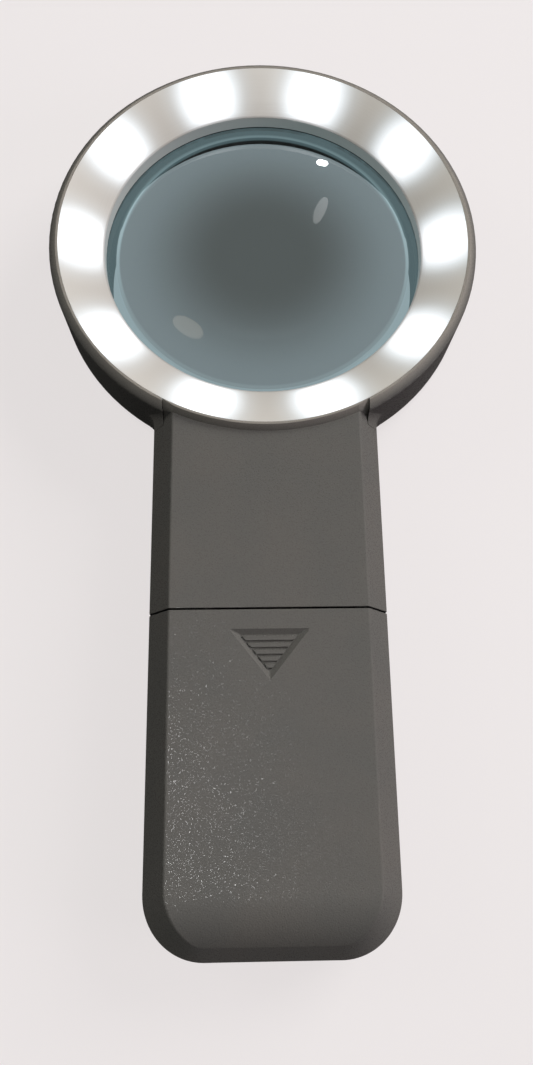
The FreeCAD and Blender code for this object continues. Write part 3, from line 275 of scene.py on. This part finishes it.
def lit_ring():
    """Satin silver diffuser with a soft white glow over each lamp and fine turned lines."""
    tree = Tree("lit_ring")
    radius, angle = head_polar(tree)
    z = tree.split(tree.place)[2]
    share = tree.spread(radius, RING_INNER, RING_OUTER)
    # how far the nearest lamp is: the first lamp stands half a pitch from the top
    turn = tree.math("ADD", tree.math("MULTIPLY", angle, LED_COUNT / (2 * math.pi)), LED_COUNT)
    off_turn = tree.math("ABSOLUTE", tree.math("SUBTRACT", tree.math("FRACT", turn), 0.5))
    along = tree.math("MULTIPLY", off_turn, 2 * math.pi / LED_COUNT * LAMP_RADIUS)
    across = tree.math("MULTIPLY", tree.math("SUBTRACT", radius, LAMP_RADIUS), LAMP_FLATTENED)
    away = tree.length(along, across)
    core = tree.spread(away, *CORE_REACH, 1.0, 0.0, smooth=True)
    halo = tree.spread(away, *HALO_REACH, 1.0, 0.0, smooth=True)
    lines = tree.add("ShaderNodeTexNoise", noise_dimensions="1D")
    tree.feed(lines.inputs["W"], tree.math("MULTIPLY", radius, TURNED_LINES))
    tree.feed(lines.inputs["Scale"], 1.0)
    tree.feed(lines.inputs["Detail"], 2.0)
    near_inner = tree.spread(share, 0.0, LINES_REACH, 1.0, LINES_LEFT)
    turned = tree.spread(lines.outputs["Fac"], *NOISE_BAND, -1.0, 1.0)
    turned = tree.math("MULTIPLY", turned, near_inner)
    between = tree.spread(share, 0.0, 1.0, *BETWEEN_GLOW)
    between = tree.math("MULTIPLY", between, tree.spread(turned, -1, 1, *LINE_GLOW))
    glow = tree.math("ADD", tree.math("MULTIPLY", core, CORE_GLOW),
                     tree.math("MULTIPLY", halo, HALO_GLOW))
    off_edge = tree.spread(share, 0.0, INNER_EDGE_REACH, INNER_EDGE_GLOW, 1.0, smooth=True)
    glow = tree.math("MULTIPLY", glow, off_edge)
    # painted shade: the glow drops along a thin line at the inner edge
    inner_edge_shade = tree.spread(share, *INNER_LINE, INNER_LINE_GLOW, 1.0)
    strength = tree.math("MULTIPLY", tree.math("ADD", glow, between), inner_edge_shade)
    face = tree.spread(z, RING_FACE_LOW - SKIRT_BLEND, RING_FACE_LOW)
    strength = tree.math("ADD", tree.math("MULTIPLY", strength, face),
                         tree.spread(face, 0.0, 1.0, SKIRT_GLOW, 0.0))
    colour = tree.mix(halo, SILVER_GLOW, LAMP_HALO)
    colour = tree.mix(core, colour, LAMP_WHITE)
    colour = tree.mix(face, SKIRT_TINT, colour)
    tree.set(Base_Color=(*SILVER, 1.0), Roughness=SILVER_ROUGHNESS,
             Normal=tree.bump(turned, LINE_BUMP, LINE_HEIGHT),
             Emission_Color=colour, Emission_Strength=strength)
    return tree.material


# ---- Lens ---------------------------------------------------------------------------------------
LAND = RING_INNER - 2.3 * MM        # the curved face ends here, inside the flange
LAND_BLEND = 0.15 * MM
TINT_START = 10 * MM                # the tint is even up to this radius
TINT_MIDDLE = (0.130, 0.158, 0.157)
TINT_EDGE = (0.29, 0.375, 0.40)
LENS_IOR = 1.49                     # acrylic
WIPE_CELLS = 55                     # per metre: faint smears
WIPE_BAND = (0.4, 0.7)
LENS_ROUGHNESS = (0.015, 0.05)
# painted light on the lens's flange, and a painted reflection of the lit ring in an arc near the lens's
# edge
PAINTED_LENS_LIGHT_COLOUR = (0.62, 0.90, 0.96)
PAINTED_FLANGE_LIGHT = 0.085
PAINTED_RING_REFLECTION = 0.17
EDGE_ARC_WIDTH = 0.7 * MM
EDGE_ARC_CORE = 0.25                # of its width
NEAR_ARC_SHARE = 0.25               # of the arc's glow is left on the handle's side
ARC_TURN = 0.6                      # cosine of the angle at which the arc starts to fade


def lens_glass():
    """Moulded lens with a painted glow on its flange and a painted reflection of the ring; its tint
    stands for the grey it shows over a darker table.
    """
    tree = Tree("lens_glass")
    radius, angle = head_polar(tree)
    wipe = tree.noise(WIPE_CELLS, 5.0, 0.6)
    tint = tree.mix(tree.spread(radius, TINT_START, LAND, smooth=True), TINT_MIDDLE, TINT_EDGE)
    flange = tree.spread(radius, LAND, LAND + LAND_BLEND)
    off_arc = tree.math("ABSOLUTE", tree.math("SUBTRACT", radius, LAND - EDGE_ARC_WIDTH / 2))
    arc = tree.spread(off_arc, EDGE_ARC_WIDTH * EDGE_ARC_CORE, EDGE_ARC_WIDTH, 1.0, 0.0, smooth=True)
    # painted reflection of the lit ring: brighter on the head's far side
    far = tree.spread(tree.math("COSINE", angle), -ARC_TURN, ARC_TURN, NEAR_ARC_SHARE, 1.0, smooth=True)
    painted_ring_reflection = tree.math("MULTIPLY", tree.math("MULTIPLY", arc, PAINTED_RING_REFLECTION), far)
    # painted light: the flange's glow and the ring's reflection
    glow = tree.math("ADD", tree.math("MULTIPLY", flange, PAINTED_FLANGE_LIGHT), painted_ring_reflection)
    tree.set(Base_Color=tint, Roughness=tree.spread(wipe, *WIPE_BAND, *LENS_ROUGHNESS),
             IOR=LENS_IOR, Transmission_Weight=1.0,
             Emission_Color=(*PAINTED_LENS_LIGHT_COLOUR, 1.0), Emission_Strength=glow)
    return tree.material


# ---- Metals, boards, rubber and the rest --------------------------------------------------------
SCRATCH_CELLS = 900             # per metre
SCRATCH_BUMP = 0.12
SCRATCH_HEIGHT = 0.05 * MM
SCRATCH_ROUGHENS = 0.18
PLAIN_CELLS = 400
PLAIN_BUMP = 0.2
PLAIN_HEIGHT = 0.08 * MM
PLAIN_ROUGHENS = 0.15
PHOSPHOR_CELLS = 3000
PHOSPHOR_YELLOW = (0.9, 0.75, 0.25)
PHOSPHOR_LIGHT = (1.0, 0.97, 0.9)
PHOSPHOR_GLOW = (5.4, 6.0)
WRAP_CELLS = 120
WRAP_GREEN = (0.02, 0.11, 0.07)
WRAP_PALE = (0.024, 0.13, 0.085)
WRAP_ROUGHNESS = (0.22, 0.32)
WRAP_METALLIC = 0.35
WRAP_BUMP = 0.1
WRAP_HEIGHT = 0.1 * MM


def metal(name, colour, dull, roughness):
    """A metal with faint wear in its colour and finish."""
    tree = Tree(name)
    wear = tree.noise(SCRATCH_CELLS, 4.0, 0.65)
    tree.set(Base_Color=tree.mix(tree.spread(wear, 0.35, 0.7), colour, dull), Metallic=1.0,
             Roughness=tree.spread(wear, *NOISE_BAND, roughness, roughness + SCRATCH_ROUGHENS),
             Normal=tree.bump(wear, SCRATCH_BUMP, SCRATCH_HEIGHT))
    return tree.material


def plain(name, colour, other, roughness):
    """A non-metal with faint colour variation and a fine surface."""
    tree = Tree(name)
    fine = tree.noise(PLAIN_CELLS, 4.0, 0.6)
    tree.set(Base_Color=tree.mix(tree.spread(fine, *NOISE_CORE), colour, other),
             Roughness=tree.spread(fine, *NOISE_BAND, roughness, roughness + PLAIN_ROUGHENS),
             Normal=tree.bump(fine, PLAIN_BUMP, PLAIN_HEIGHT))
    return tree.material


def phosphor():
    """A lit phosphor with fine grains."""
    tree = Tree("led_phosphor")
    fine = tree.noise(PHOSPHOR_CELLS)
    tree.set(Base_Color=(*PHOSPHOR_YELLOW, 1.0), Roughness=0.5,
             Emission_Color=(*PHOSPHOR_LIGHT, 1.0),
             Emission_Strength=tree.spread(fine, *NOISE_BAND, *PHOSPHOR_GLOW))
    return tree.material


def cell_wrap():
    """Printed film round a cell: plain dark green, slightly metallic."""
    tree = Tree("cell_wrap")
    film = tree.noise(WRAP_CELLS, 3.0)
    tree.set(Base_Color=tree.mix(tree.spread(film, 0.4, 0.6), WRAP_GREEN, WRAP_PALE),
             Roughness=tree.spread(film, *NOISE_BAND, *WRAP_ROUGHNESS), Metallic=WRAP_METALLIC,
             Normal=tree.bump(film, WRAP_BUMP, WRAP_HEIGHT))
    return tree.material


# colour, the shade it varies to, roughness, and the nodes that have it
PLAIN_LOOKS = {
    "gasket_rubber": ((0.012, 0.014, 0.014), (0.02, 0.022, 0.022), 0.7, ["lens_gasket"]),
    "board_white": ((0.72, 0.72, 0.7), (0.66, 0.66, 0.64), 0.45, ["led_board"]),
    "board_green": ((0.02, 0.13, 0.05), (0.028, 0.16, 0.065), 0.4, ["switch_board"]),
    "led_body": ((0.75, 0.75, 0.72), (0.7, 0.7, 0.68), 0.3, ["led_packages"]),
    "chip_black": ((0.015, 0.015, 0.016), (0.022, 0.022, 0.024), 0.4, ["led_resistors"]),
    "slider_black": ((0.016, 0.016, 0.016), (0.025, 0.025, 0.025), 0.4, ["switch_slider"]),
    "phenolic_brown": ((0.16, 0.07, 0.03), (0.2, 0.09, 0.04), 0.5, ["switch_base"]),
    "wire_red": ((0.42, 0.015, 0.012), (0.48, 0.02, 0.016), 0.4, ["wire_positive", "wire_switched"]),
    "wire_black": ((0.012, 0.012, 0.012), (0.02, 0.02, 0.02), 0.4, ["wire_negative"]),
}
METAL_LOOKS = {
    "screw_steel": ((0.20, 0.20, 0.205), (0.12, 0.12, 0.125), 0.34,
                    ["housing_screws", "led_board_screws", "switch_board_screws"]),
    "frame_steel": ((0.60, 0.60, 0.61), (0.5, 0.5, 0.51), 0.28, ["switch_frame"]),
    "contact_brass": ((0.72, 0.5, 0.2), (0.6, 0.4, 0.16), 0.3,
                      ["switch_terminals", "switch_wiper"]),
    "contact_nickel": ((0.66, 0.64, 0.60), (0.52, 0.5, 0.47), 0.25,
                       ["contact_positive", "contact_negative",
                        "contact_bridge_top", "contact_bridge_end",
                        "contact_spring_1", "contact_spring_2", "contact_spring_3"]),
    "cell_steel": ((0.68, 0.68, 0.68), (0.6, 0.6, 0.6), 0.2,
                   ["battery_1_cap", "battery_2_cap", "battery_3_cap"]),
}


def dress():
    """Gives every CAD node its material."""
    give(moulded_plastic("housing_plastic", PLASTIC, PLASTIC_WARM),
         ["rear_housing", "neck_cover", "battery_cover"])
    give(moulded_plastic("knob_plastic", KNOB, KNOB_WARM, with_painted_light_and_shade=False), ["switch_knob"])
    give(lit_ring(), ["diffuser_ring"])
    give(lens_glass(), ["lens"])
    give(phosphor(), ["led_phosphors"])
    give(cell_wrap(), ["battery_1", "battery_2", "battery_3"])
    for make, looks in ((plain, PLAIN_LOOKS), (metal, METAL_LOOKS)):
        for name, (colour, other, roughness, nodes) in looks.items():
            give(make(name, colour, other, roughness), nodes)


# ---- Floor, light and camera --------------------------------------------------------------------
FLOOR_SIZE = 6.0
FLOOR_GAP = 0.05 * MM       # below the object's flat back, so the two faces don't share a plane
FLOOR_DARK = (0.140, 0.135, 0.133)
FLOOR_LIGHT = (0.146, 0.140, 0.138)
FLOOR_GLOW = 0.70           # a lit table, so shadows on it stay pale
FLOOR_GLOW_COLOUR = (1.0, 0.955, 0.95)
FLOOR_ROUGHNESS = 0.9
FLOOR_SHINE = 0.1
PAPER_CELLS = 300           # per metre


def floor():
    """A pale lit table that the object lies on."""
    bpy.ops.mesh.primitive_plane_add(size=FLOOR_SIZE, location=(0, 0, CAD_BOX[0][2] - FLOOR_GAP))
    plane = bpy.context.object
    plane.name = "floor"
    tree = Tree("floor_paper")
    fine = tree.noise(PAPER_CELLS, 3.0)
    tree.set(Base_Color=tree.mix(fine, FLOOR_DARK, FLOOR_LIGHT), Roughness=FLOOR_ROUGHNESS,
             Specular_IOR_Level=FLOOR_SHINE, Emission_Color=(*FLOOR_GLOW_COLOUR, 1.0),
             Emission_Strength=FLOOR_GLOW)
    plane.data.materials.append(tree.material)
    plane.visible_diffuse = False
    plane.visible_glossy = False


TABLE_TOP = Vector((0, 0, 0.02))
LENS_TOP = Vector((0, HEAD_Y, 0.02))
SOFTBOX_DISTANCE = 1.3
WHITE = (1.0, 1.0, 1.0)
ROOM = 0.10                 # strength of the room's light overhead
ROOM_LOW = 0.02             # and at the horizon
ROOM_HEIGHTS = (-0.05, 0.9)
ROOM_COLOUR = (0.98, 0.98, 1.0)

# softboxes light the object evenly and leave no reflection: way from the table, watts, colour, size
SOFTBOXES = {
    "window": ((0.66, 0.52, 0.54), 15.5, (1.0, 0.985, 0.985), (0.7, 0.6)),
    "left_fill": ((-0.75, 0.35, 0.56), 3.0, (1.0, 0.98, 0.96), (0.6, 0.5)),
    "right_fill": ((0.90, -0.18, 0.36), 7.4, (1.0, 0.89, 1.0), (0.6, 0.5)),
}

# small lamps that are seen as reflections: place, aim, watts, colour, width and height
SMALL_LAMPS = {
    "ceiling_spot": ((-0.072, -0.158, 1.016), TABLE_TOP, 1.9, WHITE, (0.12, 0.12)),
    "far_spot": ((0.43, 1.76, 0.89), LENS_TOP, 0.8, WHITE, (0.075, 0.075)),
    "far_panel": ((0.46, 1.48, 1.33), LENS_TOP, 0.15, WHITE, (0.08, 0.30)),
    "near_panel": ((-0.574, 0.518, 1.80), LENS_TOP, 0.20, (1.0, 0.86, 0.68), (0.14, 0.30)),
}


def lamp(name, shape, place, aim, power, colour, size, reflected):
    """An area lamp; it is never seen through the lens, and in reflections only where asked."""
    data = bpy.data.lights.new(name, "AREA")
    data.energy = power
    data.color = colour
    data.shape = shape
    data.size, data.size_y = size
    light = bpy.data.objects.new(name, data)
    light.location = place
    light.rotation_euler = (aim - Vector(place)).to_track_quat("-Z", "Y").to_euler()
    light.visible_glossy = reflected
    light.visible_transmission = False
    bpy.context.collection.objects.link(light)


def room():
    """A dim sky that brightens from the horizon to overhead."""
    world = bpy.data.worlds.new("studio")
    world.use_nodes = True
    tree = world.node_tree
    sky = tree.nodes["Background"]
    way = tree.nodes.new("ShaderNodeSeparateXYZ")
    tree.links.new(tree.nodes.new("ShaderNodeTexCoord").outputs["Generated"], way.inputs[0])
    ramp = tree.nodes.new("ShaderNodeMapRange")
    for key, number in zip(("From Min", "From Max", "To Min", "To Max"),
                           (*ROOM_HEIGHTS, ROOM_LOW, ROOM)):
        ramp.inputs[key].default_value = number
    tree.links.new(way.outputs["Z"], ramp.inputs["Value"])
    tree.links.new(ramp.outputs["Result"], sky.inputs["Strength"])
    sky.inputs["Color"].default_value = (*ROOM_COLOUR, 1.0)
    bpy.context.scene.world = world


def lights():
    """Softboxes beyond the head and at both sides, and small lamps that show in lens and plastic."""
    for name, (way, power, colour, size) in SOFTBOXES.items():
        place = Vector(way).normalized() * SOFTBOX_DISTANCE
        lamp(name, "RECTANGLE", place, TABLE_TOP, power, colour, size, reflected=False)
    for name, (place, aim, power, colour, size) in SMALL_LAMPS.items():
        lamp(name, "ELLIPSE", place, aim, power, colour, size, reflected=True)


CAMERA_PLACE = Vector((-0.00425, -0.06663, 0.18332))
CAMERA_AIM = Vector((-0.00033, -0.01952, 0.0205))
CAMERA_ROLL = 0.847         # degrees, about the line of sight
CAMERA_LENS = 27.57         # mm
CAMERA_FRAME = 36.0         # mm, the height of the film
CAMERA_CLIP = 0.01
UP_THE_HANDLE = Vector((0, 1, 0))


def camera():
    """The camera, held by its place, the point it looks at and its roll."""
    data = bpy.data.cameras.new("camera")
    data.sensor_fit = "VERTICAL"
    data.sensor_height = CAMERA_FRAME
    data.lens = CAMERA_LENS
    data.clip_start = CAMERA_CLIP
    obj = bpy.data.objects.new("camera", data)
    ahead = (CAMERA_AIM - CAMERA_PLACE).normalized()
    right = ahead.cross(UP_THE_HANDLE).normalized()
    up = right.cross(ahead)
    roll = math.radians(CAMERA_ROLL)
    up_rolled = up * math.cos(roll) + ahead.cross(up) * math.sin(roll)
    right_rolled = ahead.cross(up_rolled)
    basis = (right_rolled, up_rolled, -ahead)
    rows = [[axis[i] for axis in basis] + [CAMERA_PLACE[i]] for i in range(3)]
    obj.matrix_world = Matrix(rows + [[0, 0, 0, 1]])
    bpy.context.collection.objects.link(obj)
    bpy.context.scene.camera = obj


bpy.context.scene.view_settings.view_transform = "Standard"
dress()
floor()
room()
lights()
camera()
